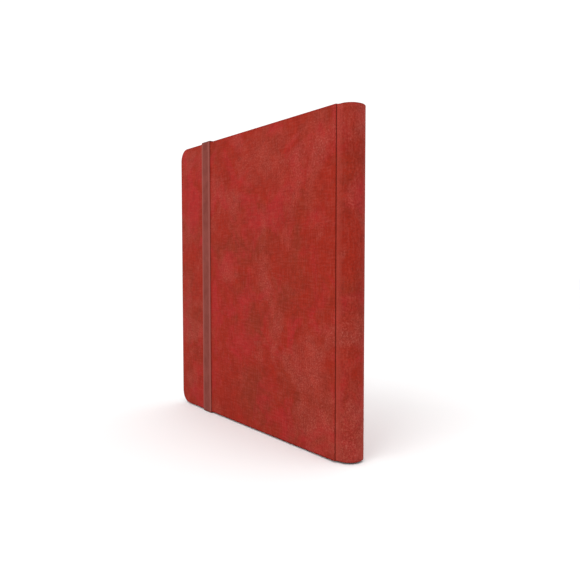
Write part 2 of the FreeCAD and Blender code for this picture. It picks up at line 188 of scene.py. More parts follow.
class Paint:
    """A node material under construction, with short calls for the nodes that the pieces use."""

    def __init__(self, name, roughness, specular=0.3, sheen=0.0, sheen_tint=(1, 1, 1)):
        self.material = bpy.data.materials.new(name)
        self.material.use_nodes = True
        self.tree = self.material.node_tree
        self.shader = self.tree.nodes["Principled BSDF"]
        self.shader.inputs["Roughness"].default_value = roughness
        self.shader.inputs["Specular IOR Level"].default_value = specular
        self.shader.inputs["Sheen Weight"].default_value = sheen
        self.shader.inputs["Sheen Roughness"].default_value = 0.5
        self.shader.inputs["Sheen Tint"].default_value = (*sheen_tint, 1)
        self.place = self.tree.nodes.new("ShaderNodeTexCoord").outputs["Object"]

    def link(self, start, end):
        self.tree.links.new(start, end)

    def stretched(self, factors, shift=(0, 0, 0)):
        """The object's own coordinates, stretched and shifted."""
        node = self.tree.nodes.new("ShaderNodeMapping")
        self.link(self.place, node.inputs["Vector"])
        node.inputs["Location"].default_value = shift
        node.inputs["Scale"].default_value = factors
        return node.outputs["Vector"]

    def moved(self, shift):
        """The object's own coordinates, shifted, so that a pattern isn't the same as another."""
        return self.stretched((1, 1, 1), shift)

    def noise(self, scale, detail=4.0, roughness=0.55, place=None, distortion=0.0):
        node = self.tree.nodes.new("ShaderNodeTexNoise")
        self.link(place or self.place, node.inputs["Vector"])
        node.inputs["Scale"].default_value = scale
        node.inputs["Detail"].default_value = detail
        node.inputs["Roughness"].default_value = roughness
        node.inputs["Distortion"].default_value = distortion
        return node.outputs["Fac"]

    def wave(self, scale, direction, place=None, distortion=0.0):
        node = self.tree.nodes.new("ShaderNodeTexWave")
        self.link(place or self.place, node.inputs["Vector"])
        node.bands_direction = direction
        node.inputs["Scale"].default_value = scale
        node.inputs["Distortion"].default_value = distortion
        node.inputs["Detail"].default_value = 1.0
        return node.outputs["Fac"]

    def cells(self, scale, place=None):
        node = self.tree.nodes.new("ShaderNodeTexVoronoi")
        self.link(place or self.place, node.inputs["Vector"])
        node.inputs["Scale"].default_value = scale
        return node.outputs["Distance"]

    def math(self, operation, first, second, clamp=False):
        node = self.tree.nodes.new("ShaderNodeMath")
        node.operation = operation
        node.use_clamp = clamp
        for socket, given in zip(node.inputs, (first, second)):
            if isinstance(given, (int, float)):
                socket.default_value = given
            else:
                self.link(given, socket)
        return node.outputs[0]

    def ramp(self, factor, stops):
        """Colours or greys along a factor. A stop is a place and a colour or a grey."""
        node = self.tree.nodes.new("ShaderNodeValToRGB")
        self.link(factor, node.inputs["Fac"])
        elements = node.color_ramp.elements
        while len(elements) < len(stops):
            elements.new(0.5)
        for element, (place, colour) in zip(elements, stops):
            element.position = place
            grey = isinstance(colour, (int, float))
            element.color = (colour, colour, colour, 1) if grey else (*colour, 1)
        return node.outputs["Color"]

    def mix(self, factor, first, second, kind="MIX"):
        node = self.tree.nodes.new("ShaderNodeMix")
        node.data_type = "RGBA"
        node.blend_type = kind
        for socket, given in zip((node.inputs[0], node.inputs[6], node.inputs[7]),
                                 (factor, first, second)):
            if isinstance(given, (int, float)):
                socket.default_value = given
            elif isinstance(given, tuple):
                socket.default_value = (*given, 1)
            else:
                self.link(given, socket)
        return node.outputs[2]

    def axis(self, letter, centre=0.0):
        """A coordinate, or how far it is from a centre."""
        node = self.tree.nodes.new("ShaderNodeSeparateXYZ")
        self.link(self.place, node.inputs[0])
        return self.math("SUBTRACT", node.outputs[letter], centre)

    def away(self, letter, centre=0.0):
        """How far a coordinate is from a centre, without its sign."""
        return self.math("ABSOLUTE", self.axis(letter, centre), 0.0)

    def patch(self, x, z, wide, tall):
        """A soft spot that is 1 in its middle, at a place on the cover in millimetres."""
        spot = self.tree.nodes.new("ShaderNodeTexGradient")
        spot.gradient_type = "QUADRATIC_SPHERE"
        self.link(self.stretched((1 / (wide * MM), 0, 1 / (tall * MM)), (-x / wide, 0, -z / tall)),
                  spot.inputs["Vector"])
        return spot.outputs["Fac"]

    def patches(self, start, places, strength):
        """A value raised over a list of soft spots."""
        total = start
        for place in places:
            total = self.math("ADD", total, self.math("MULTIPLY", self.patch(*place), strength))
        return total

    def fade(self, value, start, end):
        """0 at the start and 1 at the end, level beyond them."""
        node = self.tree.nodes.new("ShaderNodeMapRange")
        self.link(value, node.inputs["Value"])
        node.inputs["From Min"].default_value = start
        node.inputs["From Max"].default_value = end
        return node.outputs[0]

    def band(self, value, low, high, soft):
        """1 where a value is between two limits, fading to 0 over a soft margin."""
        return self.math("MULTIPLY", self.fade(value, low - soft, low),
                         self.fade(value, high + soft, high))

    def over(self, shade, mask, strength, colour):
        """A colour laid over a shade, as strongly as a mask and a strength say."""
        return self.mix(self.math("MULTIPLY", mask, strength), shade, colour)

    def colour(self, socket):
        self.link(socket, self.shader.inputs["Base Color"])

    def rough(self, socket):
        self.link(socket, self.shader.inputs["Roughness"])

    def bump(self, height, distance, strength=1.0, under=None):
        node = self.tree.nodes.new("ShaderNodeBump")
        node.inputs["Strength"].default_value = strength
        node.inputs["Distance"].default_value = distance
        self.link(height, node.inputs["Height"])
        if under is not None:
            self.link(under, node.inputs["Normal"])
        self.link(node.outputs[0], self.shader.inputs["Normal"])
        return node.outputs[0]


# Where the suede is mostly one red or another: x, z and half widths in millimetres.
CRIMSON_PLACES = ((-130, 240, 50, 110), (35, 224, 50, 40), (-12, 112, 50, 70))
BROWN_PLACES = ((63, 146, 80, 60), (92, 236, 60, 60), (-135, 75, 55, 110), (20, 40, 70, 50),
                (118, 45, 50, 60))
DUSTY_PLACES = ((118, 285, 90, 90), (-27, 250, 30, 50), (43, 94, 45, 32), (112, 70, 70, 90))

# The suede's reds in linear colour. The rim's, the rolled ends' and the pressed line's reds are
# painted shade, and the red beside the spine's crease is painted light. All but the pressed line's
# are multiplied by a piece's tone.
GROUND_RED = (0.310, 0.0190, 0.0085)
BROWN_RED = (0.245, 0.0265, 0.0115)
CRIMSON_RED = (0.390, 0.0195, 0.0200)
DUSTY_RED = (0.340, 0.0430, 0.0290)
PIT_RED = (0.140, 0.0110, 0.0055)
THREAD_RED = (0.40, 0.070, 0.052)
TIP_RED = (0.42, 0.120, 0.090)
RIM_SHADE_RED = (0.220, 0.0080, 0.0045)
CREASE_LIGHT_RED = (0.470, 0.066, 0.044)
ROLLED_END_SHADE_RED = (0.135, 0.0060, 0.0030)
PRESSED_LINE_SHADE_RED = (0.12, 0.012, 0.007)


def suede_patches(paint, cover):
    """How crimson, how brown and how dusty the suede is from place to place."""
    crimson = paint.noise(24, detail=4, roughness=0.55, distortion=1.0)
    brown = paint.noise(17, detail=5, roughness=0.6, distortion=0.8, place=paint.moved((3, 5, 7)))
    dusty = paint.noise(15, detail=5, roughness=0.62, distortion=1.2, place=paint.moved((11, 2, 4)))
    if cover:
        crimson = paint.patches(crimson, CRIMSON_PLACES, 0.16)
        brown = paint.patches(brown, BROWN_PLACES, 0.16)
        dusty = paint.patches(dusty, DUSTY_PLACES, 0.18)
    spread = 0.0 if cover else 0.05
    return (paint.fade(crimson, 0.50, 0.66), paint.fade(brown, 0.48 - spread, 0.66 - spread),
            paint.fade(dusty, 0.50 - spread, 0.68 - spread))


def cover_rim_and_crease_shade(paint, shade, toned):
    """Painted shade: darker suede on a cover's rounded rim, and in the line pressed into its edge
    along the crease.
    """
    outer = -FRONT_PLANE
    past_side = paint.math("MAXIMUM", paint.math("SUBTRACT", FORE_EDGE + FORE_CORNER,
                                                 paint.axis("X")), 0.0)
    past_end = paint.math("MAXIMUM", paint.math("SUBTRACT", paint.away("Z", MIDDLE_HEIGHT),
                                                HALF_HEIGHT - FORE_CORNER), 0.0)
    reach = paint.math("SQRT", paint.math("ADD", paint.math("MULTIPLY", past_side, past_side),
                                          paint.math("MULTIPLY", past_end, past_end)), 0.0)
    rim = paint.fade(reach, FORE_CORNER - 1.9 * MM, FORE_CORNER - 1.0 * MM)
    rim = paint.math("MULTIPLY", rim, paint.fade(paint.away("Y"), outer - 2.8 * MM,
                                                 outer - 1.8 * MM))
    # Painted shade on the rim, where the rounded edge turns away from the light.
    shade = paint.over(shade, rim, 0.7, toned(RIM_SHADE_RED))
    # Painted shade in the groove of the pressed line along the crease.
    line = paint.band(paint.away("Y"), outer - 1.28 * MM, outer - 0.38 * MM, 0.1 * MM)
    pressed_line_shade = paint.math("MULTIPLY", line, paint.fade(paint.axis("X"), CREASE - 1.2 * MM,
                                                      CREASE - 0.9 * MM))
    return paint.over(shade, pressed_line_shade, 0.95, PRESSED_LINE_SHADE_RED)


def spine_crease_light_and_end_shade(paint, shade, toned):
    """Painted light: paler suede beside the crease, lifting the shade of the corner there; and
    painted shade: darker suede where it rolls over at head and foot.
    """
    # Painted light beside the crease, where the corner against the cover's edge is in shade.
    crease_light_and_weave = paint.fade(paint.axis("X"), CREASE + 6 * MM, CREASE + 0.5 * MM)
    shade = paint.over(shade, crease_light_and_weave, 0.45, toned(CREASE_LIGHT_RED))
    # Painted shade on the rolled-over suede at head and foot.
    rolled_end_shade = paint.fade(paint.away("Z", MIDDLE_HEIGHT), HALF_HEIGHT - 0.9 * MM,
                        HALF_HEIGHT - 0.2 * MM)
    return paint.over(shade, rolled_end_shade, 0.9, toned(ROLLED_END_SHADE_RED))


def suede(name, tone=1.0, cover=False):
    """Mottled red faux suede: soft patches of four reds, a linen-like grain and rubbed speckle."""
    paint = Paint(name, 0.85, specular=0.06, sheen=0.02 if cover else 0.09,
                  sheen_tint=(0.9, 0.3, 0.25) if cover else (1.0, 0.55, 0.48))

    def toned(red):
        return tuple(channel * tone for channel in red)

    crimson, brown, dusty = suede_patches(paint, cover)
    smudge = paint.noise(75, detail=4, roughness=0.6, distortion=1.0)
    shade = paint.over(toned(GROUND_RED), brown, 0.85, toned(BROWN_RED))
    shade = paint.over(shade, crimson, 0.8, toned(CRIMSON_RED))
    shade = paint.over(shade, dusty, 0.6, toned(DUSTY_RED))
    shade = paint.mix(0.9, shade, paint.ramp(smudge, [(0.3, 0.76), (0.7, 1.0)]), "MULTIPLY")
    upright = paint.noise(560, detail=2, roughness=0.5, place=paint.stretched((1, 1, 0.14)))
    level = paint.noise(560, detail=2, roughness=0.5, place=paint.stretched((0.14, 1, 1)))
    linen = paint.math("MULTIPLY", paint.math("ADD", upright, level), 0.5)
    grain = paint.noise(620, detail=4, roughness=0.8)
    shade = paint.over(shade, paint.fade(grain, 0.52, 0.30), 0.72, toned(PIT_RED))
    shade = paint.over(shade, paint.fade(linen, 0.47, 0.62), 0.22, toned(THREAD_RED))
    tips = paint.math("MULTIPLY", paint.fade(grain, 0.53, 0.70), dusty)
    shade = paint.over(shade, tips, 0.8, toned(TIP_RED))
    # Painted shade on rims, rolled ends and the crease's pressed line, and painted light beside the
    # spine's crease.
    edge_light_and_shade = cover_rim_and_crease_shade if cover else spine_crease_light_and_end_shade
    shade = edge_light_and_shade(paint, shade, toned)
    nap = paint.noise(3400, detail=3, roughness=0.7)
    shade = paint.mix(0.8, shade, paint.ramp(nap, [(0.32, 0.78), (0.60, 1.0)]), "MULTIPLY")
    paint.colour(shade)
    paint.rough(paint.ramp(nap, [(0.35, 0.76), (0.65, 0.95)]))
    first = paint.bump(paint.math("ADD", grain, linen), 0.2 * MM, 0.5)
    second = paint.bump(smudge, 0.7 * MM, 0.2, under=first)
    paint.bump(nap, 0.12 * MM, 0.6, under=second)
    return paint.material


def elastic(name):
    """Rose-brown woven elastic: ribs along it and picks across it, with a painted highlight along
    its edges and painted shade at its ends, where it bends over the covers.
    """
    paint = Paint(name, 0.8, specular=0.08, sheen=0.04, sheen_tint=(1, 0.7, 0.65))
    picks = paint.wave(300, "Z", distortion=0.3)
    ribs = paint.wave(260, "X")
    weave = paint.math("MULTIPLY", picks, ribs)
    shade = paint.ramp(paint.noise(70, detail=6, roughness=0.65),
                       [(0.3, (0.190, 0.034, 0.024)), (0.7, (0.270, 0.060, 0.046))])
    # Painted highlight along the strap's edges, where its sides face the light.
    edge = paint.fade(paint.away("X", STRAP_MIDDLE), STRAP_WIDTH * 0.27, STRAP_WIDTH * 0.44)
    shade = paint.over(shade, edge, 0.75, (0.345, 0.092, 0.074))
    crease_light_and_weave = paint.mix(0.5, shade, paint.ramp(weave, [(0.1, 0.5), (0.8, 1.0)]), "MULTIPLY")
    # Painted shade where the strap bends over the covers' top and bottom.
    ends = paint.fade(paint.away("Z", MIDDLE_HEIGHT), HALF_HEIGHT - 0.2 * MM,
                      HALF_HEIGHT + 0.6 * MM)
    paint.colour(paint.over(crease_light_and_weave, ends, 0.75, (0.060, 0.012, 0.008)))
    paint.bump(weave, 0.2 * MM, 0.6)
    return paint.material


def cloth(name, dark, light, thread=1400):
    """Plain-woven lining cloth."""
    paint = Paint(name, 0.9, specular=0.1, sheen=0.08, sheen_tint=light)
    warp = paint.wave(thread, "X", distortion=0.6)
    weft = paint.wave(thread, "Z", distortion=0.6)
    weave = paint.math("ADD", warp, weft)
    slub = paint.noise(260, detail=5, roughness=0.7)
    shade = paint.ramp(slub, [(0.3, dark), (0.7, light)])
    paint.colour(paint.mix(0.5, shade, paint.ramp(weave, [(0.4, 0.55), (1.4, 1.0)]), "MULTIPLY"))
    paint.bump(weave, 0.2 * MM, 0.5)
    return paint.material


def pressed_board(name):
    """Grey pressed board with flecks."""
    paint = Paint(name, 0.95, specular=0.1)
    fleck = paint.noise(700, detail=6, roughness=0.8)
    paint.colour(paint.ramp(fleck, [(0.3, (0.13, 0.11, 0.09)), (0.55, (0.24, 0.21, 0.18)),
                                    (0.75, (0.36, 0.33, 0.29))]))
    paint.bump(fleck, 0.2 * MM, 0.6)
    return paint.material


def foam_sheet(name):
    """Cream padding foam with open cells."""
    paint = Paint(name, 0.95, specular=0.1)
    cell = paint.cells(1200)
    paint.colour(paint.ramp(cell, [(0.0, (0.45, 0.42, 0.35)), (0.5, (0.72, 0.69, 0.61))]))
    paint.bump(cell, 0.3 * MM, 0.8)
    return paint.material


def moulded(name, dark, light):
    """Dull black plastic with a fine spark-eroded grain."""
    paint = Paint(name, 0.5, specular=0.4)
    grain = paint.noise(1600, detail=3)
    paint.colour(paint.ramp(paint.noise(90, detail=4), [(0.3, dark), (0.7, light)]))
    paint.rough(paint.ramp(grain, [(0.3, 0.42), (0.7, 0.62)]))
    paint.bump(grain, 0.1 * MM, 0.4)
    return paint.material


def embossed_sheet(name):
    """Black polypropylene sheet with a fine cross-hatched emboss."""
    paint = Paint(name, 0.45, specular=0.45)
    one_way = paint.wave(900, "DIAGONAL")
    other_way = paint.wave(900, "DIAGONAL", place=paint.stretched((-1, 1, 1)))
    hatch = paint.math("MULTIPLY", one_way, other_way)
    dust = paint.noise(120, detail=6, roughness=0.7)
    paint.colour(paint.ramp(dust, [(0.35, (0.012, 0.012, 0.014)), (0.75, (0.024, 0.024, 0.027))]))
    paint.rough(paint.ramp(dust, [(0.3, 0.38), (0.7, 0.55)]))
    paint.bump(hatch, 0.12 * MM, 0.5)
    return paint.material


def clear_film(name):
    """Clear pocket film: see-through, frosted along the welds round every pocket, and handled."""
    paint = Paint(name, 0.12, specular=0.5)
    low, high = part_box(PAGES[0] + "_pockets")
    column = (high.x - low.x + POCKET_GAP) / POCKET_COLUMNS
    row = (high.z - low.z - WELD_WIDTH) / POCKET_ROWS
    across = paint.math("MODULO", paint.axis("X", low.x - POCKET_GAP / 2), column)
    along = paint.math("MODULO", paint.axis("Z", low.z - POCKET_GAP / 2), row)
    welds = [paint.fade(place, WELD_WIDTH + POCKET_GAP, WELD_WIDTH) for place in (across, along)]
    weld = paint.math("MAXIMUM", *welds)
    mouth = paint.math("MULTIPLY", paint.fade(across, column - 1.5 * MM, column - 0.9 * MM), 0.4)
    frosted = paint.math("MAXIMUM", weld, mouth)
    marks = paint.noise(45, detail=6, roughness=0.7, distortion=1.0)
    clear = paint.ramp(marks, [(0.3, (0.42, 0.44, 0.46)), (0.7, (0.60, 0.62, 0.65))])
    paint.colour(paint.mix(frosted, clear, (0.30, 0.31, 0.33)))
    paint.link(paint.math("ADD", paint.math("MULTIPLY", frosted, 0.42), 0.14),
               paint.shader.inputs["Alpha"])
    paint.rough(paint.math("ADD", paint.math("MULTIPLY", frosted, 0.35),
                           paint.math("MULTIPLY", marks, 0.3)))
    first = paint.bump(paint.noise(28, detail=2), 0.8 * MM, 0.25)
    beads = paint.math("MULTIPLY", paint.wave(330, "X"), paint.wave(330, "Z"))
    paint.bump(paint.math("MULTIPLY", beads, weld), 0.3 * MM, 0.8, under=first)
    return paint.material


COVER_SUEDE = suede("cover_suede", tone=1.06, cover=True)
SPINE_SUEDE = suede("spine_suede", tone=0.97)
ELASTIC = elastic("strap_elastic")
LINING = cloth("lining_cloth", (0.013, 0.013, 0.015), (0.036, 0.036, 0.041))
JOINT_CLOTH = cloth("joint_cloth", (0.10, 0.010, 0.007), (0.17, 0.018, 0.013), thread=1100)
BOARD = pressed_board("greyboard")
FOAM = foam_sheet("padding_foam")
COMB = moulded("comb_plastic", (0.010, 0.010, 0.011), (0.020, 0.020, 0.022))
SHEET = embossed_sheet("page_sheet")
FILM = clear_film("pocket_film")


# Covers.

def rounded_ring(left, right, low, high, near, fore, side_steps=SIDE_STEPS,
                 corner_steps=CORNER_STEPS):
    """Points round a rectangle with rounded corners, near the spine's side and the fore-edge's.

    Each row is x, z and a share that is 1 along the spine's side and 0 along the other three."""
    corners = (
        (right - near, low + near, near, -90, 0, 1),
        (right - near, high - near, near, 0, 1, 0),
        (left + fore, high - fore, fore, 90, 0, 0),
        (left + fore, low + fore, fore, 180, 0, 0),
    )
    points = []
    for index, (x, z, radius, start, share, share_end) in enumerate(corners):
        for step in range(corner_steps + 1):
            part = step / corner_steps
            angle = math.radians(start + 90 * part)
            points.append((x + radius * math.cos(angle), z + radius * math.sin(angle),
                           share + (share_end - share) * part))
        x_from, z_from = points[-1][:2]
        x_to, z_to, radius_to, start_to = corners[(index + 1) % 4][:4]
        turn = math.radians(start_to)
        x_to += radius_to * math.cos(turn)
        z_to += radius_to * math.sin(turn)
        for step in range(1, side_steps):
            part = step / side_steps
            points.append((x_from + (x_to - x_from) * part, z_from + (z_to - z_from) * part,
                           share_end))
    return np.array(points)


def outline(inset):
    """The cover's outline drawn in by an inset."""
    least = 0.05 * MM
    return rounded_ring(FORE_EDGE + inset, CREASE - inset, BOTTOM + inset, TOP - inset,
                        max(CREASE_CORNER - inset, least), max(FORE_CORNER - inset, least))


def inner_rings(rim, count):
    """Rings from a short upright line in the middle out towards a rim, which isn't one of them."""
    middle_x = (rim[:, 0].min() + rim[:, 0].max()) / 2
    low, high = rim[:, 1].min(), rim[:, 1].max()
    spare = (high - low - np.ptp(rim[:, 0])) / 2
    middle_z = (low + high) / 2
    centre = np.stack([np.full(len(rim), middle_x),
                       np.clip(rim[:, 1], middle_z - spare, middle_z + spare)], 1)
    smallest = 0.004  # The innermost ring's share of the rim's width.
    rings = []
    for step in range(count):
        part = smallest + (1 - smallest) * step / count
        ring = rim.copy()
        ring[:, :2] = centre + (rim[:, :2] - centre) * part
        rings.append(ring)
    return rings


# The unevenness of glued suede: how many swells in a metre, and how deep they are in millimetres.
BROAD_SWELLS = 16
SMALL_SWELLS = 60
BROAD_DEPTH = 0.07
SMALL_DEPTH = 0.025
MOST_PROUD = 0.06 * MM


def undulation(x, z, seed):
    """The slow unevenness of glued suede over foam, in metres."""
    broad = noise.noise(Vector((x * BROAD_SWELLS, z * BROAD_SWELLS, seed)))
    small = noise.noise(Vector((x * SMALL_SWELLS, z * SMALL_SWELLS, seed + 9)))
    return (BROAD_DEPTH * broad + SMALL_DEPTH * small) * MM


def ring_shell(name, rings, plane, inwards, seed, material):
    """A closed piece from rings, each with its depth behind a plane and its share of unevenness."""
    points = []
    for ring, depth, loose in rings:
        for (x, z), down in zip(ring[:, :2], np.broadcast_to(depth, len(ring))):
            wander = max(undulation(x, z, seed), -MOST_PROUD) * loose if loose else 0.0
            points.append((x, plane + inwards * (down + wander), z))
    around = len(rings[0][0])
    faces = grid_faces(len(rings), around, close_columns=True, flip=inwards > 0)
    last = (len(rings) - 1) * around
    caps = [list(range(around)), list(range(last, last + around))[::-1]]
    faces += caps if inwards > 0 else [cap[::-1] for cap in caps]
    piece = mesh_piece(name, points, faces, material)
    sharpen(piece)
    return piece


# An ordinary edge in millimetres: the padded face sinks a little towards it, and then rolls over
# and runs down to the wall's end.
FACE_INSETS = (12, 9, 6, 4, 2.6, 1.9)
FACE_INSET = FACE_INSETS[0] * MM
ROLL_RADIUS = 1.45
ROLL_STEPS = 17
SOFT_SINK = 0.06
WALL_END = 2.5

# The crease's edge in millimetres, as inset and depth: the face, a thin lip, the pressed line
# cut under it, and the end wall.
CREASE_EDGE = ((12, 0), (9, 0), (6, 0.005), (4, 0.01), (2.6, 0.015), (1.9, 0.02), (1.4, 0.03),
               (1.0, 0.04), (0.7, 0.05), (0.5, 0.07), (0.34, 0.11), (0.2, 0.17), (0.1, 0.25),
               (0.05, 0.34), (0.08, 0.43), (0.24, 0.52), (0.45, 0.62), (0.58, 0.76), (0.6, 0.9),
               (0.52, 1.04), (0.36, 1.16), (0.18, 1.28), (0.06, 1.42), (0, 1.62), (0, 2.0),
               (0, WALL_END))


def plain_edge():
    """An ordinary edge as inset and depth, with as many places as the crease's edge."""
    places = []
    for inset in FACE_INSETS:
        soft = 1 - (inset - ROLL_RADIUS) / (FACE_INSETS[0] - ROLL_RADIUS)
        places.append((inset, SOFT_SINK * soft * soft))
    for step in range(ROLL_STEPS):
        angle = math.radians(90 * step / (ROLL_STEPS - 1))
        places.append((ROLL_RADIUS * (1 - math.sin(angle)),
                       SOFT_SINK + ROLL_RADIUS * (1 - math.cos(angle))))
    walls = len(CREASE_EDGE) - len(places)
    for step in range(1, walls + 1):
        places.append((0, places[-1][1] + (WALL_END - places[-1][1]) * step / walls))
    return places


def cover_skin(name, outer_plane, inwards, seed):
    """A cover's skin as one closed shell: padded face, rounded edges and the turned-in margin."""
    face_rings, back_rings = 26, 4
    rings = [(ring, 0.0, 1.0) for ring in inner_rings(outline(FACE_INSET), face_rings)]
    for plain, crease in zip(plain_edge(), CREASE_EDGE):
        ring, creased = outline(plain[0] * MM), outline(crease[0] * MM)
        share = ring[:, 2]
        ring[:, :2] += (creased[:, :2] - ring[:, :2]) * share[:, None]
        depth = (plain[1] + (crease[1] - plain[1]) * share) * MM
        rings.append((ring, depth, min(1.0, plain[0] / 6)))
    for degrees in (0, 22, 45, 68, 90):
        angle = math.radians(degrees)
        rings.append((outline(COVER_ROUND * (1 - math.cos(angle))),
                      COVER_THICK - COVER_ROUND * (1 - math.sin(angle)), 0.0))
    # The turned-in margin: in to its hem, back under it, and along the face's underside.
    hem = TURN_IN - 0.15 * MM
    hem_middle = 4 * MM
    folded = COVER_THICK - COVER_HEM_THICK
    for inset, depth in ((hem_middle, COVER_THICK), (hem - 0.3 * MM, COVER_THICK),
                         (hem, COVER_THICK - 0.1 * MM), (hem, folded), (hem_middle, folded),
                         (SKIN, folded), (SKIN, SKIN + 0.3 * MM), (1.4 * MM, SKIN),
                         (FACE_INSET, SKIN)):
        rings.append((outline(inset), depth, 0.0))
    for ring in reversed(inner_rings(outline(FACE_INSET), back_rings)):
        rings.append((ring, SKIN, 0.0))
    return ring_shell(name, rings, outer_plane, inwards, seed, COVER_SUEDE)


def lining_sheet(side, outwards):
    """A cover's lining: a glued cloth panel with soft edges and a little unevenness."""
    low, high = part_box(side + "_lining")
    thick = high.y - low.y
    shown = low.y if outwards > 0 else high.y
    edge = 0.12 * MM
    sunk = 0.05 * MM
    seed = 60.0

    def panel(inset):
        return rounded_ring(low.x + inset, high.x - inset, low.z + inset, high.z - inset,
                            LINING_CREASE_CORNER - inset, LINING_FORE_CORNER - inset)

    rings = [(ring, sunk, 0.7) for ring in inner_rings(panel(2 * edge), 20)]
    rings += [(panel(2 * edge), sunk, 0.0), (panel(0.6 * edge), 0.09 * MM, 0.0),
              (panel(0), 0.2 * MM, 0.0), (panel(0), thick, 0.0)]
    rings += [(ring, thick, 0.0) for ring in reversed(inner_rings(panel(0), 2))]
    piece = ring_shell(side + "_lining_cloth", rings, shown, outwards, seed, LINING)
    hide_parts(side + "_lining")
    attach(piece, side)


def slot_welt(name, height, strap_side):
    """The pressed welt round a slot on the back cover. It is flat on the side the strap lies."""
    steps, side_steps, corner_steps = 10, 12, 8
    sunk = 0.25 * MM
    half_wide = STRAP_WIDTH / 2 + 2.1 * MM
    half_tall = STRAP_THICK / 2 + 0.1 * MM + WELT_WIDE
    points = []
    for step in range(steps + 1):
        angle = math.pi * step / steps
        draw = WELT_WIDE / 2 * (1 - math.cos(angle))
        ring = rounded_ring(STRAP_MIDDLE - half_wide + draw, STRAP_MIDDLE + half_wide - draw,
                            height - half_tall + draw, height + half_tall - draw,
                            0.9 * half_tall - draw, 0.9 * half_tall - draw,
                            side_steps, corner_steps)
        for x, z in ring[:, :2]:
            clear = min(1.0, max(0.0, 0.6 - (z - height) * strap_side / MM))
            rise = (sunk + WELT_PROUD * clear) * math.sin(angle)
            points.append((x, BACK_PLANE - sunk + rise, z))
    around = len(points) // (steps + 1)
    faces = grid_faces(steps + 1, around, close_rows=True, close_columns=True, flip=True)
    welt = mesh_piece(name, points, faces, COVER_SUEDE)
    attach(welt, "back_cover")


def covers():
    """Both covers' skins and linings, and the finishes of the boards and foams inside them."""
    for side, plane, inwards, seed in (("front_cover", FRONT_PLANE, 1, 3.0),
                                       ("back_cover", BACK_PLANE, -1, 21.0)):
        skin = cover_skin(side + "_suede", plane, inwards, seed)
        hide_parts(side + "_skin")
        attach(skin, side)
        lining_sheet(side, -inwards)
        finish(side + "_board", BOARD)
        finish(side + "_foam", FOAM)
    slot_welt("slot_welt_top", TOP - STRAP_RISE, 1)
    slot_welt("slot_welt_bottom", BOTTOM + STRAP_RISE, -1)


def finish(node, material):
    """Gives a CAD node its material."""
    mesh = frame["nodes"][node].data
    mesh.materials.clear()
    mesh.materials.append(material)


# Spine.

def spine_profile(inset, steps):
    """The spine's rounded outline seen from above, drawn in by an inset, from front to back.

    Each row is x, y and the outward direction. The outer face starts in a rounded lip."""
    half = SPINE_HIGH.y - inset
    radius = SPINE_ROUND - inset
    tip = SPINE_HIGH.x - inset
    start = CREASE + LIP_GAP
    lip = max(0.02 * MM, LIP_RADIUS * (1 - inset / SKIN))
    lip_steps, straight_steps = 5, 4
    front = []
    for step in range(lip_steps + 1):
        angle = math.radians(90 / lip_steps * step)
        front.append((start + lip * (1 - math.cos(angle)), -half + lip * (1 - math.sin(angle)),
                      0, -1))
    straight = tip - radius - start - lip
    for step in range(1, straight_steps + 1):
        front.append((start + lip + straight * step / straight_steps, -half, 0, -1))
    for step in range(1, steps + 1):
        angle = math.radians(-90 + 90 * step / steps)
        front.append((tip - radius + radius * math.cos(angle),
                      radius - half + radius * math.sin(angle), math.cos(angle), math.sin(angle)))
    back = [(x, -y, out_x, -out_y) for x, y, out_x, out_y in front[::-1]]
    return front + back


def spine_section():
    """The skin's section up the spine, as inset and height, once round.

    It runs up the outer face, over the rolled head to a short hem, down the inner face to the
    hem at the foot, and over the rolled foot."""
    rim = SPINE_RIM
    hem_back = SPINE_HEM_INSET - SPINE_HEM_THICK
    count = 56
    rows = []
    for step in range(count + 1):
        rows.append((0.0, BOTTOM + rim + (TOP - BOTTOM - 2 * rim) * step / count))
    for step in range(1, BEND_STEPS + 1):
        angle = math.pi * step / BEND_STEPS
        rows.append((rim - rim * math.cos(angle), TOP - rim + rim * math.sin(angle)))
    rows.append((SPINE_HEM_INSET, TOP - SPINE_HEM))
    rows.append((hem_back, TOP - SPINE_HEM))
    rows.append((hem_back, TOP - rim - 0.2 * MM))
    rows.append((SKIN, TOP - rim - 0.2 * MM))
    rows.append((SKIN, BOTTOM + rim + 0.2 * MM))
    rows.append((hem_back, BOTTOM + rim + 0.2 * MM))
    rows.append((hem_back, BOTTOM + SPINE_HEM))
    rows.append((SPINE_HEM_INSET, BOTTOM + SPINE_HEM))
    for step in range(BEND_STEPS):
        angle = math.pi * step / BEND_STEPS
        rows.append((rim + rim * math.cos(angle), BOTTOM + rim - rim * math.sin(angle)))
    return rows


def spine():
    """The spine's skin, rolled over at head and foot, and the finishes of what it holds."""
    rows = spine_section()
    round_steps = 18
    seed = 40.0
    points = []
    for inset, z in rows:
        for x, y, out_x, out_y in spine_profile(inset, round_steps):
            loose = 0.0
            if inset == 0.0:
                loose = 0.6 * undulation(y * 3 + x, z, seed) * max(out_x, 0.0) - 0.03 * MM
            points.append((x + out_x * loose, y + out_y * loose, z))
    width = len(points) // len(rows)
    faces = grid_faces(len(rows), width, close_rows=True)
    ends = [[row * width for row in range(len(rows))],
            [row * width + width - 1 for row in range(len(rows))][::-1]]
    faces += ends
    skin = mesh_piece("spine_suede_skin", points, faces, SPINE_SUEDE)
    sharpen(skin)
    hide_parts("spine_skin")
    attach(skin, "spine")
    spine_lining()
    finish("spine_board", BOARD)
    finish("binding_comb", COMB)
    finish("page_margins", SHEET)


